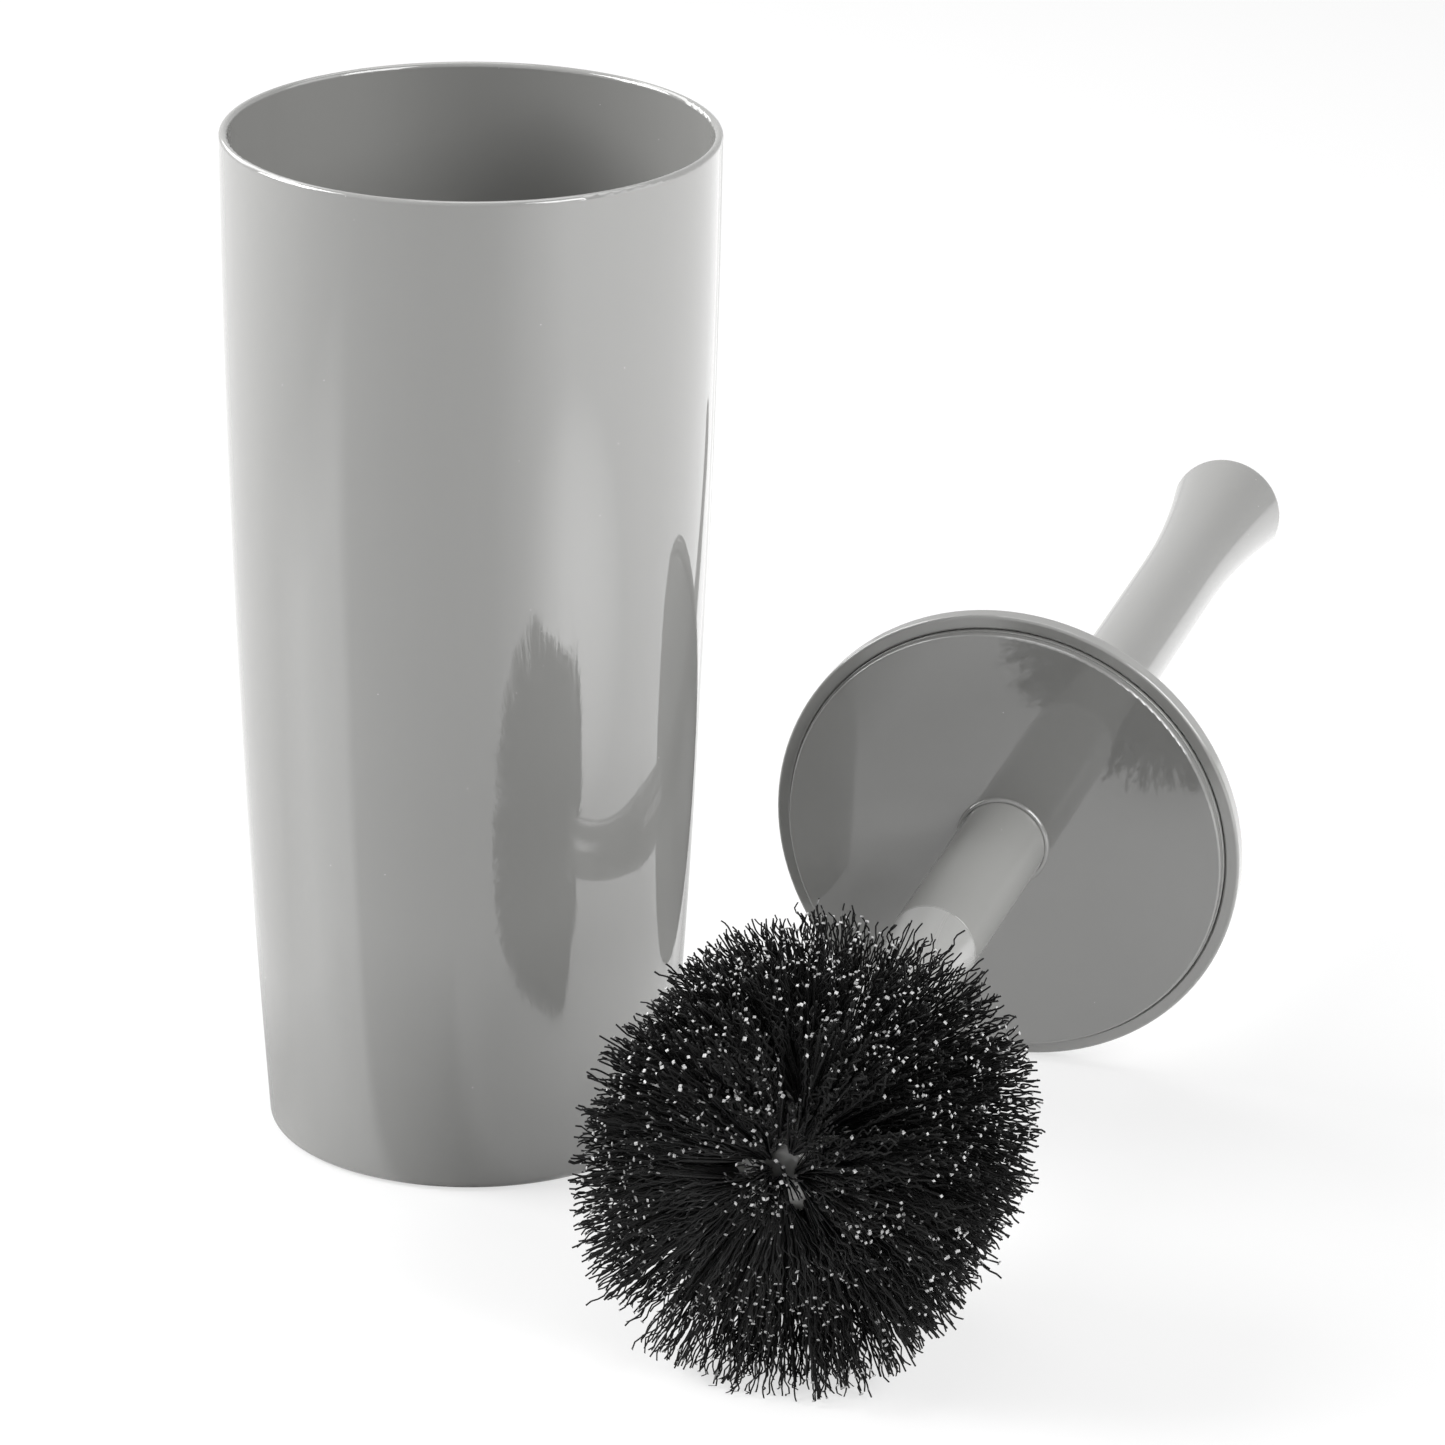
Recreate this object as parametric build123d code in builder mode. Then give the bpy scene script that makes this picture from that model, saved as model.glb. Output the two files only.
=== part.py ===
from build123d import *
import os
from math import atan, cos, degrees, pi, radians, sin, tan

os.makedirs("parts", exist_ok=True)

# Canister, upright, its base centre at the origin
canister_height = 228.0
base_radius = 44.7
rim_radius = 54.0
wall_bulge = 1.95
wall = 1.9
floor_thickness = 2.4
foot_height = 0.8
foot_width = 5.0
base_corner_radius = 2.0
inner_corner_radius = 4.0

# Lid: a cover with a skirt, and the plate that plugs the canister's mouth
lid_overhang = 0.2
flange_thickness = 4.3
flange_edge_radius = 1.2
ledge_edge_radius = 0.7
ledge_inner_radius = 0.5
recess_depth = 2.0
lid_crown = 2.4
lid_crown_bulge = 0.53
collar_width = 1.6
plug_clearance = 1.2
plug_depth = 2.5
plate_thickness = 1.8
plate_rim_width = 2.2
plate_edge_radius = 0.45
plate_step = 0.35
plate_step_height = 0.7
plate_step_radius = 0.2
plate_groove = 0.1
hole_lip_radius = 0.8

# Handle above the lid, flared at its end
handle_radius = 9.8
handle_length = 192.0
flare_radius = 14.0
flare_length = 51.0
handle_edge_radius = 2.4
handle_crown = 1.2
handle_end_wall = 9.0

# Rod below the lid, with a spigot that runs up through the lid into the handle
rod_radius = 10.0
rod_length = 58.5
rod_edge_radius = 0.2
rod_hole_clearance = 0.1
spigot_radius = 6.8
spigot_length = 24.0
spigot_chamfer = 0.8
fit_clearance = 0.1

# Stem of the brush head: plug, tapered neck and the spine inside the bristles
stem_plug_radius = 6.6
stem_plug_length = 24.0
neck_step = 0.15
neck_radius = 7.2
neck_taper_length = 40.0
neck_length = 63.5
spine_radius = 4.0

# Brush head: rows of tufts on a core, and a nose of forward strands
tuft_rows = 7
tufts_per_row = 12
core_radius = 9.0
row_pitch = 6.6
first_tip_reach = 3.5
tip_pitch = 10.3
head_radius = 42.0
front_drop = 4.5
back_drop = 1.5
barrel_power = 6
strand_width = 0.9
strand_root_depth = 1.5
tuft_root_spread = 1.0
tuft_tip_spread = 4.6
tuft_tip_stagger = 2.4
nose_thickness = 4.0
nose_strand_length = 21.0
nose_rings = 2
nose_ring_strands = 6
nose_lean = 24.0

# Where the brush lies beside the canister
side_gap = 49.9
lid_back = 67.7
floor_clearance = 0.5

# Sizes that follow from the ones above
flange_radius = rim_radius + lid_overhang
plate_radius = rim_radius - wall - plug_clearance
lid_bore_radius = spigot_radius + fit_clearance
handle_seat = flange_thickness + lid_crown
handle_end = handle_seat + handle_length
core_back = -(rod_length + neck_length)
core_front = core_back - tuft_rows * row_pitch
core_bore_radius = spine_radius + fit_clearance


def tip_radius(row):
    # The barrel of the head, drawn in a little at the back and rounded off at the front
    along = row / (tuft_rows - 1)
    return head_radius - front_drop * along**barrel_power - back_drop * (1 - along) ** barrel_power


def tip_distance(row):
    # How far a row's tips lie below the lid, along the brush
    return -core_back + first_tip_reach + row * tip_pitch


# The brush rests on the lid's edge and on the bristles, so its slope follows from both
slopes = [
    (flange_radius - floor_clearance - tip_radius(row)) / tip_distance(row) for row in range(tuft_rows)
]
tilt = atan(min(slopes))
brush_direction = (0, cos(tilt), sin(tilt))
lid_centre = (rim_radius + side_gap, lid_back, flange_radius * cos(tilt))
brush_axis = Axis(lid_centre, brush_direction)
# A lengthwise section of the brush, radius along its X, and the plane across it at the lid
brush_section = Plane(origin=lid_centre, x_dir=(1, 0, 0), z_dir=(0, -sin(tilt), cos(tilt)))
brush_cross = Plane(origin=lid_centre, x_dir=(1, 0, 0), z_dir=brush_direction)


def save(part, name):
    part.label = name
    export_step(part, f"parts/{name}.step")


# Canister: a bulging cup with a rounded lip, standing on a foot ring
wall_top = canister_height - wall / 2
with BuildPart() as canister:
    with BuildSketch(Plane.XZ) as canister_profile:
        with BuildLine():
            outside = SagittaArc((base_radius, 0), (rim_radius, wall_top), -wall_bulge)
            lip_crest = (rim_radius - wall / 2, canister_height)
            lip = ThreePointArc(outside @ 1, lip_crest, (rim_radius - wall, wall_top))
            inside = SagittaArc(lip @ 1, (base_radius - wall, floor_thickness), wall_bulge)
            Polyline(
                inside @ 1,
                (0, floor_thickness),
                (0, foot_height),
                (base_radius - foot_width, foot_height),
                (base_radius - foot_width, 0),
                outside @ 0,
            )
        make_face()
        fillet(canister_profile.vertices().sort_by_distance((base_radius, 0))[0], base_corner_radius)
        inner_corner = (base_radius - wall, floor_thickness)
        fillet(canister_profile.vertices().sort_by_distance(inner_corner)[0], inner_corner_radius)
    revolve(axis=Axis.Z)
save(canister.part, "canister")

# Lid cover: crowned top, thick edge and a shallow recess below for the plate
with BuildPart() as lid_cover:
    with BuildSketch(brush_section) as cover_profile:
        collar_radius = handle_radius + collar_width
        with BuildLine():
            collar_edge = (collar_radius, handle_seat)
            crown = SagittaArc(collar_edge, (flange_radius, flange_thickness), lid_crown_bulge)
            Polyline(
                crown @ 1,
                (flange_radius, 0),
                (plate_radius + plate_groove, 0),
                (plate_radius + plate_groove, recess_depth),
                (lid_bore_radius, recess_depth),
                (lid_bore_radius, handle_seat),
                crown @ 0,
            )
        make_face()
        top_edge = cover_profile.vertices().sort_by_distance((flange_radius, flange_thickness))[0]
        fillet(top_edge, flange_edge_radius)
        fillet(cover_profile.vertices().sort_by_distance((flange_radius, 0))[0], ledge_edge_radius)
        inner_edge = cover_profile.vertices().sort_by_distance((plate_radius + plate_groove, 0))[0]
        fillet(inner_edge, ledge_inner_radius)
    revolve(axis=brush_axis)
save(lid_cover.part, "lid_cover")

# Lid plate: a shallow dish with a stepped rim wall and a hub, both seated in the cover, and a lip round the hole
hole_radius = rod_radius + rod_hole_clearance
hub_radius = hole_radius + 2 * hole_lip_radius
plug_radius = plate_radius - plate_step
with BuildPart() as lid_plate:
    with BuildSketch(brush_section) as plate_profile:
        with BuildLine():
            lip_foot = (hole_radius + hole_lip_radius, -plug_depth)
            lip_curve = CenterArc((hole_radius, -plug_depth), hole_lip_radius, -90, 90)
            Polyline(
                lip_foot,
                (plug_radius, -plug_depth),
                (plug_radius, -plate_step_height),
                (plate_radius, -plate_step_height),
                (plate_radius, recess_depth),
                (plate_radius - plate_rim_width, recess_depth),
                (plate_radius - plate_rim_width, plate_thickness - plug_depth),
                (hub_radius, plate_thickness - plug_depth),
                (hub_radius, recess_depth),
                (hole_radius, recess_depth),
                lip_curve @ 0,
            )
        make_face()
        fillet(plate_profile.vertices().sort_by_distance((plug_radius, -plug_depth))[0], plate_edge_radius)
        step_edge = plate_profile.vertices().sort_by_distance((plate_radius, -plate_step_height))[0]
        fillet(step_edge, plate_step_radius)
    revolve(axis=brush_axis)
save(lid_plate.part, "lid_plate")

# Handle: straight tube that flares like a trumpet to a rounded, closed end
with BuildPart() as handle:
    with BuildSketch(brush_section) as handle_profile:
        bore_end = handle_end - handle_end_wall
        crown_radius = (flare_radius**2 + handle_crown**2) / (2 * handle_crown)
        with BuildLine():
            side = Line((handle_radius, handle_seat), (handle_radius, handle_end - flare_length))
            flare = TangentArc(side @ 1, (flare_radius, handle_end - handle_crown), tangent=(0, 1))
            end = RadiusArc(flare @ 1, (0, handle_end), -crown_radius)
            Polyline(
                end @ 1,
                (0, bore_end),
                (lid_bore_radius, bore_end),
                (lid_bore_radius, handle_seat),
                side @ 0,
            )
        make_face()
        end_edge = handle_profile.vertices().sort_by_distance((flare_radius, handle_end - handle_crown))[0]
        fillet(end_edge, handle_edge_radius)
    revolve(axis=brush_axis)
save(handle.part, "handle")

# Rod: shouldered against the lid cover, spigot above, socket for the stem below
spigot_top = handle_seat + spigot_length
socket_radius = stem_plug_radius + fit_clearance
socket_top = -rod_length + stem_plug_length + fit_clearance
with BuildPart() as rod:
    with BuildSketch(brush_section) as rod_profile:
        with BuildLine():
            Polyline(
                (0, socket_top),
                (socket_radius, socket_top),
                (socket_radius, -rod_length),
                (rod_radius, -rod_length),
                (rod_radius, recess_depth),
                (spigot_radius, recess_depth),
                (spigot_radius, spigot_top),
                (0, spigot_top),
                (0, socket_top),
            )
        make_face()
        fillet(rod_profile.vertices().sort_by_distance((rod_radius, -rod_length))[0], rod_edge_radius)
        chamfer(rod_profile.vertices().sort_by_distance((spigot_radius, spigot_top))[0], spigot_chamfer)
    revolve(axis=brush_axis)
save(rod.part, "rod")

# Stem: plug in the rod's socket, shoulder, hollowed taper down to the neck, and the spine of the head
shoulder_radius = rod_radius - neck_step
with BuildPart() as stem:
    with BuildSketch(brush_section) as stem_profile:
        plug_top = -rod_length + stem_plug_length
        taper_end = -rod_length - neck_taper_length
        with BuildLine():
            neck = Line((neck_radius, core_back), (neck_radius, taper_end))
            taper = TangentArc(neck @ 1, (shoulder_radius, -rod_length), tangent=(0, 1))
            Polyline(
                taper @ 1,
                (stem_plug_radius, -rod_length),
                (stem_plug_radius, plug_top),
                (0, plug_top),
                (0, core_front),
                (spine_radius, core_front),
                (spine_radius, core_back),
                neck @ 0,
            )
        make_face()
        chamfer(stem_profile.vertices().sort_by_distance((stem_plug_radius, plug_top))[0], spigot_chamfer)
    revolve(axis=brush_axis)
save(stem.part, "brush_stem")


def strand_plane(root, tip):
    # A plane at a strand's root that faces its tip
    return Plane(origin=root, z_dir=Vector(*tip) - Vector(*root))


def tuft_planes(row):
    # One strand in the middle of each tuft and four splayed round it, in the slice's own frame
    root_height = -row_pitch / 2
    tip_height = row * row_pitch - core_back - tip_distance(row)
    turn = pi / tufts_per_row * (row % 2)
    splay = [(0, 0), (-1, -1), (-1, 1), (1, -1), (1, 1)]
    planes = []
    for tuft in range(tufts_per_row):
        angle = turn + tuft * 2 * pi / tufts_per_row
        outward = Vector(cos(angle), sin(angle), 0)
        sideways = Vector(-sin(angle), cos(angle), 0)
        for across, along in splay:
            root = outward * (core_radius - strand_root_depth)
            root += sideways * (across * tuft_root_spread)
            root += Vector(0, 0, root_height + along * tuft_root_spread)
            tip = outward * tip_radius(row)
            tip += sideways * (across * tuft_tip_spread)
            tip += Vector(0, 0, tip_height + along * tuft_tip_stagger)
            planes.append(strand_plane(root, tip))
    return planes


# Bristle rows: each a slice of the twelve-sided core with its own ring of tufts
strand_count = 0
for row in range(tuft_rows):
    slice_plane = brush_cross.offset(core_back - row * row_pitch)
    with BuildPart(slice_plane) as bristle_row:
        with BuildSketch(slice_plane):
            turn = 180 / tufts_per_row * (row % 2 + 1)
            RegularPolygon(core_radius, tufts_per_row, major_radius=False, rotation=turn)
            Circle(core_bore_radius, mode=Mode.SUBTRACT)
        extrude(amount=-row_pitch)
        planes = tuft_planes(row)
        reach = tip_distance(row) + core_back - row * row_pitch - row_pitch / 2
        length = ((tip_radius(row) - core_radius + strand_root_depth) ** 2 + reach**2) ** 0.5
        with Locations(*planes):
            Box(strand_width, strand_width, length, align=(Align.CENTER, Align.CENTER, Align.MIN))
        strand_count += len(planes)
    save(bristle_row.part, f"bristle_row_{row + 1}")


def nose_planes():
    # A strand straight ahead and rings that lean out more and more
    planes = [strand_plane((0, 0, strand_root_depth - nose_thickness), (0, 0, -nose_strand_length))]
    for ring in range(1, nose_rings + 1):
        lean = radians(nose_lean * ring)
        root_radius = (core_radius - strand_root_depth) * ring / nose_rings
        places = nose_ring_strands * ring
        for place in range(places):
            angle = (2 * place + ring % 2) * pi / places
            outward = Vector(cos(angle), sin(angle), 0)
            root = outward * root_radius + Vector(0, 0, strand_root_depth - nose_thickness)
            planes.append(strand_plane(root, root + outward * tan(lean) - Vector(0, 0, 1)))
    return planes


# Nose: the closed end of the core with strands that fan forward
nose_plane = brush_cross.offset(core_front)
with BuildPart(nose_plane) as bristle_nose:
    with BuildSketch(nose_plane):
        RegularPolygon(core_radius, tufts_per_row, major_radius=False)
    extrude(amount=-nose_thickness)
    planes = nose_planes()
    with Locations(*planes):
        Box(strand_width, strand_width, nose_strand_length, align=(Align.CENTER, Align.CENTER, Align.MIN))
    strand_count += len(planes)
save(bristle_nose.part, "bristle_nose")

print(f"slope of the lying brush {degrees(tilt):.2f} degrees, strands {strand_count}")
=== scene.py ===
import math

import bmesh
import bpy
import numpy as np
from mathutils import Matrix, Vector


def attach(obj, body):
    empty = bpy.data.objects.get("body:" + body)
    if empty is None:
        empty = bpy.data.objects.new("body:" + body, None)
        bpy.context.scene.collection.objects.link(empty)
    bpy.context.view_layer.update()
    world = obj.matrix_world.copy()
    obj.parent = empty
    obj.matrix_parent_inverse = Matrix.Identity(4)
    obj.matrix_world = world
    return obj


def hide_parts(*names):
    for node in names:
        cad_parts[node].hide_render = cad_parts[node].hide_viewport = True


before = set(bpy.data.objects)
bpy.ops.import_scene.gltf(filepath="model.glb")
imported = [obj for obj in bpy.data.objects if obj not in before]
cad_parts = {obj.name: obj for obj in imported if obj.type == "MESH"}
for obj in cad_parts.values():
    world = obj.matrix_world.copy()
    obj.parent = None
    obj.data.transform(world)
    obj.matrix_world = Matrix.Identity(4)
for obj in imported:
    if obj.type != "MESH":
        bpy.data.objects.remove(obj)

# the start-up cube, lamp and camera go
for startUp in ("Cube", "Light", "Camera"):
    if startUp in bpy.data.objects:
        bpy.data.objects.remove(bpy.data.objects[startUp])
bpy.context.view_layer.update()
mm = 0.001
fullTurn = 2 * math.pi


class Wire:
    # wraps a socket, so that shader sums read as plain sums; each sum adds its Math node
    def __init__(self, tree, socket=None):
        self.tree = tree
        self.socket = socket

    def node(self, kind, settings=None, inputs=None, out=0):
        made = self.tree.nodes.new(kind)
        for key, value in (settings or {}).items():
            if key == "stops":
                fillRamp(made.color_ramp, value)
            else:
                setattr(made, key, value)
        for key, value in (inputs or {}).items():
            if isinstance(value, Wire):
                self.tree.links.new(value.socket, made.inputs[key])
            else:
                made.inputs[key].default_value = value
        return Wire(self.tree, made.outputs[out]) if len(made.outputs) else None

    def other(self, name):
        # another output of the same node
        return Wire(self.tree, self.socket.node.outputs[name])

    def sum(self, operation, first, second):
        return self.node("ShaderNodeMath", {"operation": operation}, {0: first, 1: second})

    def __add__(self, other):
        return self.sum("ADD", self, other)

    def __radd__(self, other):
        return self.sum("ADD", other, self)

    def __sub__(self, other):
        return self.sum("SUBTRACT", self, other)

    def __rsub__(self, other):
        return self.sum("SUBTRACT", other, self)

    def __mul__(self, other):
        return self.sum("MULTIPLY", self, other)

    def __rmul__(self, other):
        return self.sum("MULTIPLY", other, self)

    def __truediv__(self, other):
        return self.sum("DIVIDE", self, other)

    def __rtruediv__(self, other):
        return self.sum("DIVIDE", other, self)


def fillRamp(ramp, stops):
    while len(ramp.elements) < len(stops):
        ramp.elements.new(1.0)
    for element, (place, grey) in zip(ramp.elements, stops):
        element.position = place
        element.color = plainGrey(grey)


def plainGrey(grey):
    return (grey, grey, grey, 1.0)


def mixed(wire, share, first, second):
    return wire.node("ShaderNodeMix", {"data_type": "RGBA"}, {0: share, 6: first, 7: second}, 2)


def vectorSum(wire, operation, *inputs, out="Vector"):
    return wire.node("ShaderNodeVectorMath", {"operation": operation}, dict(enumerate(inputs)), out)


def noiseField(wire, place, noise):
    return wire.node("ShaderNodeTexNoise", {}, {"Vector": place, **noise})


def clamped(value):
    return value.node("ShaderNodeClamp", {}, {"Value": value})


def rising(value, start, blur):
    return clamped((value - start) / blur)


def falling(value, end, blur):
    return clamped((end - value) / blur)


def newFinish(name):
    material = bpy.data.materials.new(name)
    material.use_nodes = True
    material.node_tree.nodes.clear()
    return material, Wire(material.node_tree)


def plainShader(wire, inputs):
    shader = wire.node("ShaderNodeBsdfPrincipled", {}, inputs)
    wire.node("ShaderNodeOutputMaterial", {}, {"Surface": shader})


def newObject(name, data):
    made = bpy.data.objects.new(name, data)
    bpy.context.scene.collection.objects.link(made)
    return made


noiseMiddle = 0.5  # what a noise varies about

# brush axis in the frame: the brush lies on the lid's edge and its bristles
brushLie = {
    "lidCentre": Vector((0.1039, 0.0677, 0.054058)),  # middle of the lid's underside
    "slope": math.radians(4.1506),
}
alongBrush = Vector((0.0, math.cos(brushLie["slope"]), math.sin(brushLie["slope"])))  # towards the handle
acrossBrush = Vector((1.0, 0.0, 0.0))
underBrush = alongBrush.cross(acrossBrush)


# camera at the photograph's angle
cameraView = {
    "place": (0.5410, -1.5040, 0.6965),
    "turn": 17.80,  # degrees left of +Y
    "dip": 20.69,
    "roll": 0.72,
    "lens": 193.40,
    "sensor": 36.0,
    "reach": (0.01, 50.0),
}
cameraData = bpy.data.cameras.new("photoCamera")
cameraData.lens = cameraView["lens"]
cameraData.sensor_width = cameraView["sensor"]
cameraData.clip_start, cameraData.clip_end = cameraView["reach"]
camera = newObject("photoCamera", cameraData)
aim = Matrix.Rotation(math.radians(cameraView["turn"]), 4, "Z")
aim = aim @ Matrix.Rotation(math.radians(90 - cameraView["dip"]), 4, "X")
aim = aim @ Matrix.Rotation(math.radians(cameraView["roll"]), 4, "Z")
camera.matrix_world = Matrix.Translation(cameraView["place"]) @ aim
bpy.context.scene.camera = camera
bpy.context.scene.view_settings.view_transform = "Standard"
print("camera: lens", cameraView["lens"])


# plain studio: weak even sky, softboxes on both sides and above, white floor
studio = {
    "sky": 0.07,
    "boxes": {
        "leftSoftbox": {"place": (-1.246, -0.347, 0.951), "watts": 35.4},
        "leftBackSoftbox": {"place": (-1.112, 0.671, 0.951), "watts": 10.4},
        "rightSoftbox": {"place": (1.294, -0.503, 0.951), "watts": 21.9},
        "rightBackSoftbox": {"place": (1.346, 0.347, 0.951), "watts": 4.8},
        "topSoftbox": {"place": (0.05, 0.547, 1.584), "watts": 5.3},
    },
    "boxSize": (0.9, 1.0),
    "aim": (0.05, 0.0, 0.08),
    "floorSize": 12.0,
    "floorDrop": 0.2 * mm,
    "floorBounce": 0.80,
    "floorShown": 0.28,  # what the camera sees of the light that falls on it
    "floorLift": 0.665,  # even white on top of that
}
# painted light and shade that the gloss sees on the floor: painted shade in front of the canister, painted
# pools of light on both sides of it
# most pairs are a place in metres and the width of its blur
floorMirror = {
    "even": 0.67,
    "nearShade": (0.15, 0.03),  # painted shade: light at the canister, and the squared distance that adds one
    "shadeEnd": (0.012, 0.02),  # the shade lies between shadeLeft and shadeEnd
    "shadeLeft": (-0.05, 0.06),
    "gapStart": (-0.03, 0.03),  # painted shadow between the canister and the brush
    "gapEnd": (0.072, 0.02),
    "gapLeft": (0.0, 0.03),
    "gapShade": 0.85,
    "left": 0.67,
    "leftLine": (0.714, -0.700, -0.031),  # the painted pool of light starts at this line
    "leftBlur": (0.005, 0.25),  # at the canister, and how it widens away from it
    "leftBack": (0.2, -0.03),  # slope and place of the patch's back edge
    "leftBackBlur": (0.04, 0.5),
    "leftEnd": (-0.40, 0.14),
    "rightStart": (0.52, 0.58),  # turn from straight ahead, in radians
    "right": 0.34,
    "rightFar": 0.60,
    "farStart": (0.02, 0.05),  # square of the distance
    # painted hot spot of light on the right
    "spot": 1.0,
    "spotPlace": (0.36, -0.15),
    "spotSize": 0.03,
}


def rayKinds(wire):
    # what the camera sees itself, what gloss and glass see, and both
    seen = wire.node("ShaderNodeLightPath", out="Is Camera Ray")
    mirror = wire.sum("MAXIMUM", seen.other("Is Glossy Ray"), seen.other("Is Transmission Ray"))
    return seen, mirror, wire.sum("MAXIMUM", seen, mirror)


def buildWorld():
    world = bpy.data.worlds.new("studioSky")
    bpy.context.scene.world = world
    world.use_nodes = True
    world.node_tree.nodes.clear()
    wire = Wire(world.node_tree)
    _, _, direct = rayKinds(wire)
    light = direct + studio["sky"] * (1 - direct)
    shown = wire.node("ShaderNodeBackground", {}, {"Color": light, "Strength": 1.0})
    wire.node("ShaderNodeOutputWorld", {}, {"Surface": shown})


# painted light and shade on the floor, seen only in reflections
def paintedFloorReflection(wire):
    look = floorMirror
    place = wire.node("ShaderNodeNewGeometry", out="Position")
    x = wire.node("ShaderNodeSeparateXYZ", {}, {"Vector": place}, "X")
    y = x.other("Y")
    away = x * x + y * y
    shade, shadeReach = look["nearShade"]
    lit = wire.sum("MAXIMUM", clamped(shade + away / shadeReach), rising(x, *look["shadeEnd"]))
    lit = wire.sum("MAXIMUM", lit, falling(x, *look["shadeLeft"]))
    # painted shadow between the canister and the brush
    gap = rising(y, *look["gapStart"]) * rising(x, *look["gapLeft"]) * falling(x, *look["gapEnd"])
    lit = lit * (1 - look["gapShade"] * gap)
    alongX, alongY, start = look["leftLine"]
    sharp, widening = look["leftBlur"]
    left = clamped(0.5 - (alongX * x + alongY * y + start) / (sharp + widening * away))
    tilt, back = look["leftBack"]
    sharp, widening = look["leftBackBlur"]
    left = left * clamped(0.5 - (y - tilt * x - back) / (sharp + widening * away))
    end, endBlur = look["leftEnd"]
    left = left * clamped(0.5 + (x - end) / endBlur)
    spotX, spotY = look["spotPlace"]
    spotAway = (x - spotX) * (x - spotX) + (y - spotY) * (y - spotY)
    spot = clamped(1 - spotAway / look["spotSize"])
    right = look["right"] + look["rightFar"] * rising(away, *look["farStart"]) + look["spot"] * spot
    turn = wire.sum("ARCTAN2", x, -1.0 * y)
    right = right * rising(turn, *look["rightStart"])
    return look["even"] * lit + look["left"] * left + right


def buildFloor():
    half = studio["floorSize"] / 2
    mesh = bpy.data.meshes.new("floor")
    corners = [(-half, -half), (half, -half), (half, half), (-half, half)]
    mesh.from_pydata([(x, y, -studio["floorDrop"]) for x, y in corners], [], [(0, 1, 2, 3)])
    floor = newObject("floor", mesh)
    material, wire = newFinish("whiteFloor")
    seen, mirror, direct = rayKinds(wire)
    white = studio["floorBounce"] * (1 - direct) + studio["floorShown"] * direct
    # the floor glows: even white to the camera, painted light and shade in reflections
    glow = seen * studio["floorLift"] + (1 - seen) * mirror * paintedFloorReflection(wire)
    plainShader(
        wire,
        {
            "Base Color": white,
            "Roughness": 1.0,
            "Specular IOR Level": 0.0,
            "Emission Color": glow,
            "Emission Strength": 1.0,
        },
    )
    mesh.materials.append(material)


def buildLamps():
    for name, box in studio["boxes"].items():
        lamp = bpy.data.lights.new(name, "AREA")
        lamp.shape = "RECTANGLE"
        lamp.size, lamp.size_y = studio["boxSize"]
        lamp.energy = box["watts"]
        place = Vector(box["place"])
        facing = (Vector(studio["aim"]) - place).to_track_quat("-Z", "Y")
        newObject(name, lamp).matrix_world = Matrix.Translation(place) @ facing.to_matrix().to_4x4()


buildWorld()
buildFloor()
buildLamps()
print("studio: floor, sky and", len(studio["boxes"]), "softboxes")


# glossy moulded plastic, one look for each moulding; flow lines are drawn out along the piece
brushAxis = (brushLie["lidCentre"], alongBrush)
upFlow = {"flow": (1.0, 1.0, 0.05), "turn": 0.0, "axis": ((0.0, 0.0, 0.0), (0.0, 0.0, 1.0))}
evenFlow = {"flow": (1.0, 1.0, 1.0), "turn": 0.0, "axis": brushAxis}
longFlow = {"flow": (1.0, 0.05, 1.0), "turn": brushLie["slope"], "axis": brushAxis}
plasticLooks = {
    "canister": {"grey": 0.246, "rough": 0.032, **upFlow},
    "lid_cover": {"grey": 0.265, "rough": 0.09, **evenFlow},
    "lid_plate": {"grey": 0.225, "rough": 0.03, **evenFlow},
    "handle": {"grey": 0.238, "rough": 0.12, **longFlow},
    "rod": {"grey": 0.297, "rough": 0.12, **longFlow},
    "brush_stem": {"grey": 0.291, "rough": 0.22, **longFlow},
}
plasticDetail = {
    "ior": 1.8,
    "warmth": 0.97,  # blue against red and green
    "toneRange": (0.5, 1.5),
    "cloud": {"Scale": 16.0, "Detail": 3.0},
    "cloudDepth": 0.06,
    "flow": {"Scale": 90.0, "Detail": 4.0},
    "flowDepth": 0.04,
    "smudge": {"Scale": 34.0, "Detail": 5.0},
    "smudgeMiddle": 0.4,
    "smudgeRough": 0.04,
    "dustScale": 150.0,
    "dustSize": 0.015,
    "dustGrey": 0.55,
    "dustRough": 0.4,
    "dustHeight": 2.0,
    "hair": {"Scale": 26.0, "Detail": 2.0, "Distortion": 0.6},
    "hairWidth": 0.0025,
    "hairRough": 0.10,
    "smoothest": 0.015,
    "peel": {"Scale": 1100.0, "Detail": 1.0},
    "peelHeight": 0.15,
    "bumpDepth": 0.1 * mm,
    "bumpStrength": 0.10,
}


def warmGrey(grey):
    return (grey, grey, plasticDetail["warmth"] * grey, 1.0)


def turnedNormal(wire, place, look):
    # every moulding is turned: the gloss follows a true circle, without the edges of the mesh
    facing = wire.node("ShaderNodeNewGeometry", out="Normal")
    middle, axis = look["axis"]
    around = vectorSum(wire, "CROSS_PRODUCT", axis, vectorSum(wire, "SUBTRACT", place, middle))
    around = vectorSum(wire, "NORMALIZE", around)
    sideways = vectorSum(wire, "DOT_PRODUCT", facing, around, out="Value")
    return vectorSum(wire, "SUBTRACT", facing, vectorSum(wire, "MULTIPLY", around, sideways))


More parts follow.
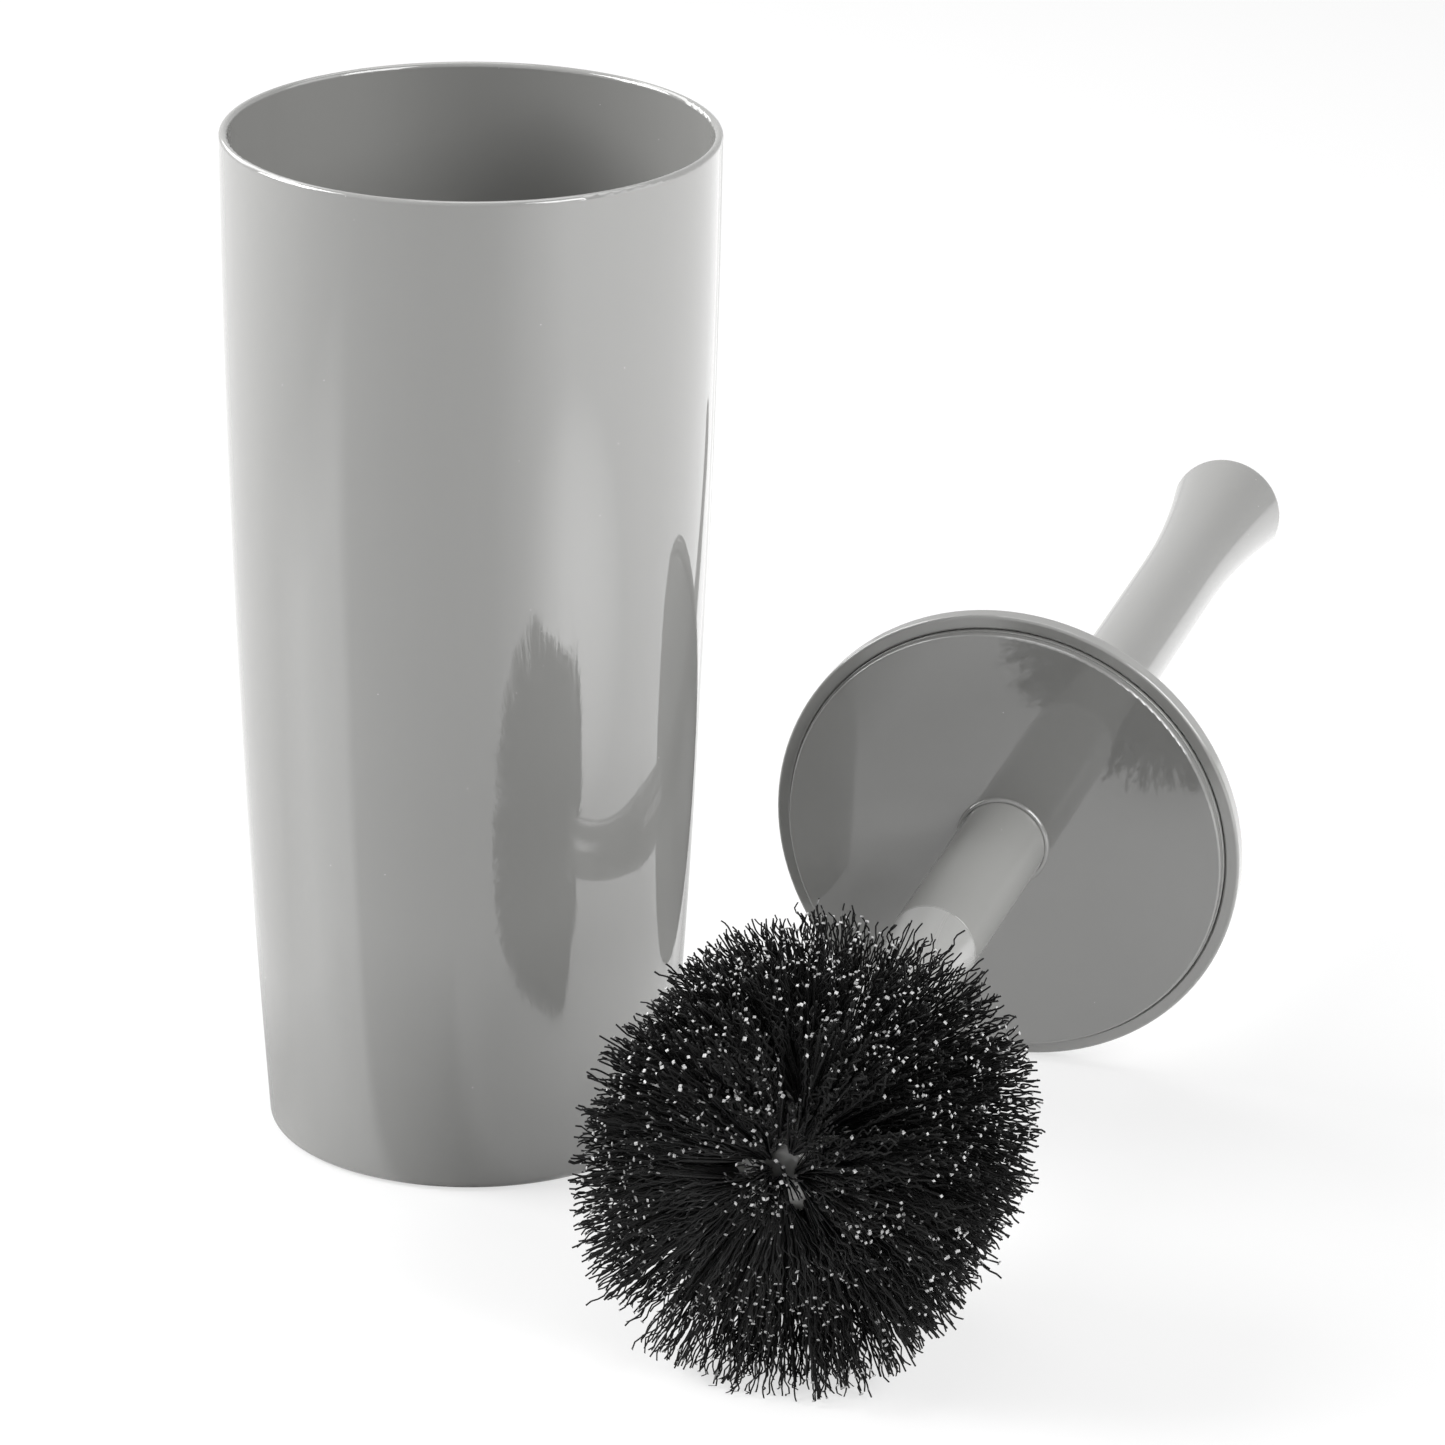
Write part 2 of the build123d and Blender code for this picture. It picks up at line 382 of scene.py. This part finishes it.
def plasticFinish(name, look):
    material, wire = newFinish(name + "Plastic")
    detail = plasticDetail
    place = wire.node("ShaderNodeTexCoord", out="Object")
    lengthwise = wire.node(
        "ShaderNodeMapping",
        {"vector_type": "POINT"},
        {"Vector": place, "Rotation": (-look["turn"], 0.0, 0.0), "Scale": look["flow"]},
    )
    cloud = noiseField(wire, place, detail["cloud"])
    flow = noiseField(wire, lengthwise, detail["flow"])
    dust = wire.node("ShaderNodeTexVoronoi", {}, {"Vector": place, "Scale": detail["dustScale"]}, "Distance")
    speck = wire.sum("LESS_THAN", dust, detail["dustSize"])
    shade = 0.5 + detail["cloudDepth"] * (cloud - noiseMiddle) + detail["flowDepth"] * (flow - noiseMiddle)
    dark, light = detail["toneRange"]
    tone = mixed(wire, shade, warmGrey(dark * look["grey"]), warmGrey(light * look["grey"]))
    tone = mixed(wire, speck, tone, warmGrey(detail["dustGrey"]))
    # smudges and hairlines show only in the gloss
    smudge = noiseField(wire, place, detail["smudge"])
    hair = noiseField(wire, lengthwise, detail["hair"])
    hairline = wire.sum("LESS_THAN", wire.sum("ABSOLUTE", hair - noiseMiddle, 0.0), detail["hairWidth"])
    rough = look["rough"] + detail["smudgeRough"] * (smudge - detail["smudgeMiddle"])
    rough = wire.sum("MAXIMUM", rough + detail["hairRough"] * hairline, detail["smoothest"])
    peel = noiseField(wire, place, detail["peel"])
    bump = wire.node(
        "ShaderNodeBump",
        {},
        {
            "Strength": detail["bumpStrength"],
            "Distance": detail["bumpDepth"],
            "Height": detail["peelHeight"] * peel + flow + detail["dustHeight"] * speck,
            "Normal": turnedNormal(wire, place, look),
        },
    )
    plainShader(
        wire,
        {
            "Base Color": tone,
            "Roughness": rough + detail["dustRough"] * speck,
            "IOR": detail["ior"],
            "Normal": bump,
        },
    )
    return material


for nodeName, nodeLook in plasticLooks.items():
    finish = plasticFinish(nodeName, nodeLook)
    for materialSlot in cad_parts[nodeName].material_slots:
        materialSlot.material = finish
print("plastic: finishes on", len(plasticLooks), "mouldings")


# brush head, sizes in mm; places along the brush are below zero, counted from the lid
head = {
    "rows": 7,
    "tufts": 12,
    "coreRadius": 9.0,
    "coreBack": -122.0,
    "rowPitch": 6.6,
    "firstTip": -125.5,
    "tipPitch": 10.3,
    "tipBack": -123.0,
    "noseThickness": 4.0,
    "rootDepth": 1.5,
    "rootSpread": 1.1,
}
coreFront = head["coreBack"] - head["rows"] * head["rowPitch"]
# outline that the tips are cut to
envelope = {
    "middle": -159.0,
    "half": 35.2,
    "radius": 42.0,
    "power": 8.0,
    "frontMargin": 1.5,
    "mostShare": 0.995,  # of the half length, so that the radius stays above zero
}
filament = {
    "perTuft": 60,
    "width": 0.21,  # half of its thickness
    "sides": 4,
    "straightRings": 3,
    "wavyRings": 16,
    "waveStart": 0.52,  # share of the length where the crimp starts
    "waveGrow": 0.2,
    "waveLength": (4.8, 6.6),
    "waveHeight": (0.25, 0.90),
    "straightShare": 0.08,
    "lengthSpread": 3.8,
    "longest": 2.9,
    "swayRight": 3.0,  # the head is combed to the right and stands a little tall
    "swayTall": 1.1,
    "tuftFan": 0.23,
    "tuftReach": 6.4,  # how far a tuft spreads along the brush
    "tuftVariety": (0.035, 0.8, 0.8),  # lean, shift and trim: no two tufts stand alike
    "tipScatter": (1.0, 0.03),  # along the brush and round it
    "partings": (-1.43, 2.23, -0.24),  # where the tufts stand apart
    "partingReach": 0.40,
    "partingLean": 0.10,
    "bend": 1.5,
    "skew": (0.37, 0.51, 0.78),  # no filament runs along this
    "strayShare": 0.02,
    "strayLength": 3.0,
    "floorGap": 0.15,
    "paleShare": 1.0,  # most pale ends that a tuft has
    "paleDepth": 1.7,  # the longest filaments stay dark to the tip
    "cutLength": (0.10, 0.30),
    "cutOverlap": 0.05,
    "cutFlare": (1.0, 2.7),
    "seed": 41,
}
draw = np.random.default_rng(filament["seed"])


def fromBrush(points):
    # points as (across, under, along) in mm, to the frame in metres
    axes = np.array([acrossBrush, underBrush, alongBrush])
    return np.array(brushLie["lidCentre"]) + points @ axes * mm


def envelopeRadius(along):
    share = np.abs((along - envelope["middle"]) / envelope["half"])
    share = np.clip(share, 0.0, envelope["mostShare"])
    return envelope["radius"] * (1 - share ** envelope["power"]) ** (1 / envelope["power"])


def polar(radius, angle, along):
    return np.stack([radius * np.cos(angle), radius * np.sin(angle), along], axis=-1)


def partedBy(angle):
    # how far a tuft leans away from the partings beside it
    lean = 0.0
    for parting in filament["partings"]:
        apart = math.remainder(angle - parting, fullTurn)
        near = max(0.0, 1 - abs(apart) / filament["partingReach"])
        lean += math.copysign(filament["partingLean"] * near, apart)
    return lean


def spotsInTuft(count):
    # places spread evenly over a round tuft
    spot = np.sqrt(draw.random(count))
    turn = draw.random(count) * fullTurn
    return spot * np.cos(turn), spot * np.sin(turn)


def rowEnds(row):
    # root and tip of every filament in a row of tufts, and which ends are pale
    count = filament["perTuft"]
    alongScatter, turnScatter = filament["tipScatter"]
    foremost = envelope["middle"] - envelope["half"] + envelope["frontMargin"]
    roots, tips, pale = [], [], []
    for tuft in range(head["tufts"]):
        angle = (tuft + 0.5 * (row % 2)) * fullTurn / head["tufts"]
        lean, shift, trim = draw.normal(0.0, filament["tuftVariety"])
        lean += partedBy(angle)
        sideways, lengthwise = spotsInTuft(count)
        rootRadius = np.full(count, head["coreRadius"] - head["rootDepth"])
        rootAlong = head["coreBack"] - (row + 0.5) * head["rowPitch"] + head["rootSpread"] * lengthwise
        roots.append(polar(rootRadius, angle + head["rootSpread"] * sideways / rootRadius, rootAlong))
        tipAlong = head["firstTip"] - row * head["tipPitch"] + filament["tuftReach"] * lengthwise + shift
        tipAlong += draw.normal(0.0, alongScatter, count)
        tipAlong = np.clip(tipAlong, foremost, head["tipBack"])
        short = np.abs(draw.normal(0.0, filament["lengthSpread"], count))
        tipRadius = envelopeRadius(tipAlong) + filament["longest"] + trim - short
        tipRadius += filament["swayRight"] * math.cos(angle) + filament["swayTall"] * math.sin(angle) ** 2
        tipAngle = angle + lean + sideways * filament["tuftFan"] + draw.normal(0.0, turnScatter, count)
        tips.append(polar(tipRadius, tipAngle, tipAlong))
        tuftShare = filament["paleShare"] * draw.random()
        pale.append((draw.random(count) < tuftShare) & (short > filament["paleDepth"]))
    return np.concatenate(roots), np.concatenate(tips), np.concatenate(pale)


nose = {
    "rings": (
        {"tufts": 3, "perTuft": 44, "root": 1.6, "tip": (0.0, 11.0), "turn": 1.9, "fan": 1.0},
        {"tufts": 4, "perTuft": 60, "root": 4.6, "tip": (15.0, 25.0), "turn": -0.3, "fan": 0.92},
        {"tufts": 12, "perTuft": 56, "root": 7.4, "tip": (21.0, 34.0), "turn": 0.0, "fan": 0.95},
    ),
    "fronts": (-186.0, -188.0, -191.0),  # how far forward the tips of each ring reach
    "paleShares": (0.8, 0.9, 1.0),
    "rootSpread": 0.9,
    "tipScatter": 0.8,
    "doming": 0.004,
}


def noseEnds():
    # rings of tufts that fan forward and leave a hollow in the middle
    roots, tips, pale = [], [], []
    for ring, front, paleShare in zip(nose["rings"], nose["fronts"], nose["paleShares"]):
        count = ring["perTuft"]
        inner, outer = ring["tip"]
        middle, reach = (inner + outer) / 2, (outer - inner) / 2
        rootAlong = np.full(count, coreFront - head["noseThickness"] + head["rootDepth"])
        for tuft in range(ring["tufts"]):
            angle = ring["turn"] + tuft * fullTurn / ring["tufts"]
            sideways, outward = spotsInTuft(count)
            rootRadius = ring["root"] + nose["rootSpread"] * outward
            roots.append(polar(rootRadius, angle + nose["rootSpread"] * sideways / ring["root"], rootAlong))
            tipRadius = middle + reach * outward + draw.normal(0.0, nose["tipScatter"], count)
            tipAngle = angle + sideways * ring["fan"] * math.pi / ring["tufts"]
            tipAlong = front + nose["doming"] * tipRadius**2
            tipAlong += np.abs(draw.normal(0.0, filament["lengthSpread"], count))
            tips.append(polar(tipRadius, tipAngle, tipAlong))
            tuftShare = paleShare * draw.random()
            pale.append(draw.random(count) < tuftShare)
    return np.concatenate(roots), np.concatenate(tips), np.concatenate(pale)


def unit(vectors):
    return vectors / np.linalg.norm(vectors, axis=1)[:, None]


def sidewaysBy(turn, level, upright):
    return np.cos(turn)[:, None] * level + np.sin(turn)[:, None] * upright


def filamentLines(roots, tips):
    # straight near the core, crimped towards the tip, a little bent over its length
    count = len(roots)
    stray = draw.random(count) < filament["strayShare"]
    length = np.linalg.norm(tips - roots, axis=1) + stray * filament["strayLength"]
    run = unit(tips - roots)
    level = unit(np.cross(run, np.array(filament["skew"])))
    upright = np.cross(run, level)
    waveWay = sidewaysBy(draw.random(count) * fullTurn, level, upright)
    bendWay = sidewaysBy(draw.random(count) * fullTurn, level, upright)
    bend = draw.normal(0.0, filament["bend"], count)
    waveLength = draw.uniform(*filament["waveLength"], count)
    waveHeight = draw.uniform(*filament["waveHeight"], count)
    waveHeight *= draw.random(count) > filament["straightShare"]
    phase = draw.random(count) * fullTurn
    inner = np.linspace(0.0, filament["waveStart"], filament["straightRings"], endpoint=False)
    outer = np.linspace(filament["waveStart"], 1.0, filament["wavyRings"])
    share = np.concatenate([inner, outer])
    travel = share[None, :] * length[:, None]
    grow = np.clip((share - filament["waveStart"]) / filament["waveGrow"], 0.0, 1.0)[None, :]
    wave = waveHeight[:, None] * grow * np.sin(fullTurn * travel / waveLength[:, None] + phase[:, None])
    sag = bend[:, None] * share[None, :] ** 2
    lines = roots[:, None, :] + travel[:, :, None] * run[:, None, :]
    lines += wave[:, :, None] * waveWay[:, None, :] + sag[:, :, None] * bendWay[:, None, :]
    return lines, level, upright


def tubeMesh(name, lines, rims):
    # tubes along lines of points, closed at both ends
    count, rings, _ = lines.shape
    sides = rims.shape[2]
    points = fromBrush((lines[:, :, None, :] + rims).reshape(-1, 3))
    points[:, 2] = np.maximum(points[:, 2], filament["floorGap"] * mm)  # nothing goes through the floor
    first = (np.arange(count) * rings * sides)[:, None, None]
    ring = (np.arange(rings - 1) * sides)[None, :, None]
    side = np.arange(sides)[None, None, :]
    low = first + ring + side
    high = first + ring + (side + 1) % sides
    walls = np.stack([low, high, high + sides, low + sides], axis=-1).reshape(-1, 4)
    rootCaps = first[:, 0, :] + np.arange(sides)[::-1][None, :]
    tipCaps = first[:, 0, :] + (rings - 1) * sides + np.arange(sides)[None, :]
    mesh = bpy.data.meshes.new(name)
    mesh.from_pydata(points.tolist(), [], walls.tolist() + rootCaps.tolist() + tipCaps.tolist())
    smooth = np.zeros(len(mesh.polygons), bool)
    smooth[: len(walls)] = True
    mesh.polygons.foreach_set("use_smooth", smooth)
    mesh.update()
    return newObject(name, mesh)


def filamentPiece(name, roots, tips, pale):
    lines, level, upright = filamentLines(roots, tips)
    corner = np.arange(filament["sides"]) * fullTurn / filament["sides"]
    levelRim = filament["width"] * np.cos(corner)[None, :, None] * level[:, None, :]
    uprightRim = filament["width"] * np.sin(corner)[None, :, None] * upright[:, None, :]
    rim = (levelRim + uprightRim)[:, None, :, :]
    end = lines[pale, -1, :]
    way = unit(end - lines[pale, -2, :])
    # cut ends are squeezed by the shears: wider one way than the other
    wide, tall = draw.uniform(*filament["cutFlare"], (2, len(end), 1, 1))
    cutRim = wide * levelRim[pale] + tall * uprightRim[pale]
    cutLength = draw.uniform(*filament["cutLength"], (len(end), 1))
    cutEnds["lines"].append(np.stack([end - filament["cutOverlap"] * way, end + cutLength * way], axis=1))
    cutEnds["rims"].append(np.repeat(cutRim[:, None, :, :], 2, axis=1))
    return tubeMesh(name, lines, np.repeat(rim, lines.shape[1], axis=1))


bristleLook = {
    "black": 0.015,
    "paintedLightGrey": 0.07,  # painted light: paler deep between the tufts, where little light gets, so the shade there reads lighter
    "paintedLightSpan": (0.25, 0.60),  # start and length, as shares of the reach
    # painted glints: short pale streaks on the filaments where the noise runs high
    "paintedGlint": 0.30,
    "grainAndGlint": {"Scale": 430.0, "Detail": 2.0},
    "paintedGlintStops": [(0.66, 0.0), (0.72, 1.0)],
    "rough": 0.55,
    "roughSpread": 0.25,
    "ior": 1.45,
    "shine": 0.08,
}
# painted highlight: pale grey on the cut ends stands in for the glint of their cut faces, brighter in random
# patches
tipLook = {
    "dark": 0.18,
    "light": 0.62,
    "patch": {"Scale": 900.0, "Detail": 1.0},
    "patchStart": (0.3, 0.4),
    "rough": 0.5,
    "roughSpread": 0.3,
}


def bristleFinish():
    look = bristleLook
    material, wire = newFinish("blackBristle")
    place = wire.node("ShaderNodeTexCoord", out="Object")
    grainAndGlint = noiseField(wire, place, look["grainAndGlint"])
    paintedGlint = wire.node("ShaderNodeValToRGB", {"stops": look["paintedGlintStops"]}, {"Fac": grainAndGlint})
    # painted light: the filaments are paler towards the core, where they lie in shade, and black out at the
    # tips
    fromLid = vectorSum(wire, "SUBTRACT", place, brushLie["lidCentre"])
    outward = vectorSum(wire, "LENGTH", vectorSum(wire, "CROSS_PRODUCT", alongBrush, fromLid), out="Value")
    forward = vectorSum(wire, "DOT_PRODUCT", alongBrush, fromLid, out="Value") - coreFront * mm
    noseReach = nose["fronts"][-1] - coreFront
    reach = wire.sum("MAXIMUM", outward / (envelope["radius"] * mm), forward / (noseReach * mm))
    reach = rising(reach, *look["paintedLightSpan"])
    tone = mixed(wire, reach, plainGrey(look["paintedLightGrey"]), plainGrey(look["black"]))
    # painted glints along the filaments
    tone = mixed(wire, paintedGlint, tone, plainGrey(look["paintedGlint"]))
    plainShader(
        wire,
        {
            "Base Color": tone,
            "Roughness": look["rough"] + look["roughSpread"] * (grainAndGlint - noiseMiddle),
            "IOR": look["ior"],
            "Specular IOR Level": look["shine"],
        },
    )
    return material


def tipFinish():
    look = tipLook
    # painted highlight on the cut ends
    material, wire = newFinish("cutTipPaintedHighlight")
    patch = noiseField(wire, wire.node("ShaderNodeTexCoord", out="Object"), look["patch"])
    tone = mixed(wire, rising(patch, *look["patchStart"]), plainGrey(look["dark"]), plainGrey(look["light"]))
    rough = look["rough"] + look["roughSpread"] * (patch - noiseMiddle)
    plainShader(wire, {"Base Color": tone, "Roughness": rough})
    return material


blackBristle = bristleFinish()
filamentCount = 0
cutEnds = {"lines": [], "rims": []}
bristleNodes = [f"bristle_row_{row + 1}" for row in range(head["rows"])] + ["bristle_nose"]
for row, bristleNode in enumerate(bristleNodes):
    roots, tips, pale = rowEnds(row) if row < head["rows"] else noseEnds()
    piece = filamentPiece(bristleNode.replace("bristle", "filaments"), roots, tips, pale)
    piece.data.materials.append(blackBristle)
    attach(piece, "brush")
    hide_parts(bristleNode)
    filamentCount += len(roots)
ends = tubeMesh("filament_cut_ends", np.concatenate(cutEnds["lines"]), np.concatenate(cutEnds["rims"]))
ends.data.materials.append(tipFinish())
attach(ends, "brush")
print("bristles:", filamentCount, "filaments in", len(bristleNodes), "pieces, with pale cut ends")


# core that carries the tufts: turned body with a rounded nose
core = {
    "segments": 72,
    "backEdge": 0.6,
    "edge": 3.0,
    "edgeSteps": 8,
    "dome": 1.0,
    "weld": 0.01,
    "grey": 0.36,
    "rough": 0.2,
}


def buildCore():
    back, front = head["coreBack"], coreFront - head["noseThickness"]
    radius, edge = head["coreRadius"], core["edge"]
    profile = [(0.0, back), (radius - core["backEdge"], back), (radius, back - core["backEdge"])]
    for step in range(core["edgeSteps"] + 1):
        bow = 0.5 * math.pi * step / core["edgeSteps"]
        profile.append((radius - edge + edge * math.cos(bow), front + edge - edge * math.sin(bow)))
    profile.append((0.0, front - core["dome"]))
    shape = bmesh.new()
    points = [fromBrush(np.array([[outward, 0.0, along]]))[0] for outward, along in profile]
    line = [shape.verts.new(point) for point in points]
    edges = [shape.edges.new(pair) for pair in zip(line, line[1:])]
    bmesh.ops.spin(
        shape,
        geom=line + edges,
        axis=alongBrush,
        cent=brushLie["lidCentre"],
        angle=fullTurn,
        steps=core["segments"],
        use_merge=True,
    )
    bmesh.ops.remove_doubles(shape, verts=shape.verts, dist=core["weld"] * mm)
    bmesh.ops.recalc_face_normals(shape, faces=shape.faces)
    for face in shape.faces:
        face.smooth = True
    mesh = bpy.data.meshes.new("tuft_core")
    shape.to_mesh(mesh)
    shape.free()
    piece = newObject("tuft_core", mesh)
    mesh.materials.append(plasticFinish("core", {**core, **longFlow}))
    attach(piece, "brush")
    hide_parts(*bristleNodes)


buildCore()
print("core: turned body with", core["segments"], "segments")
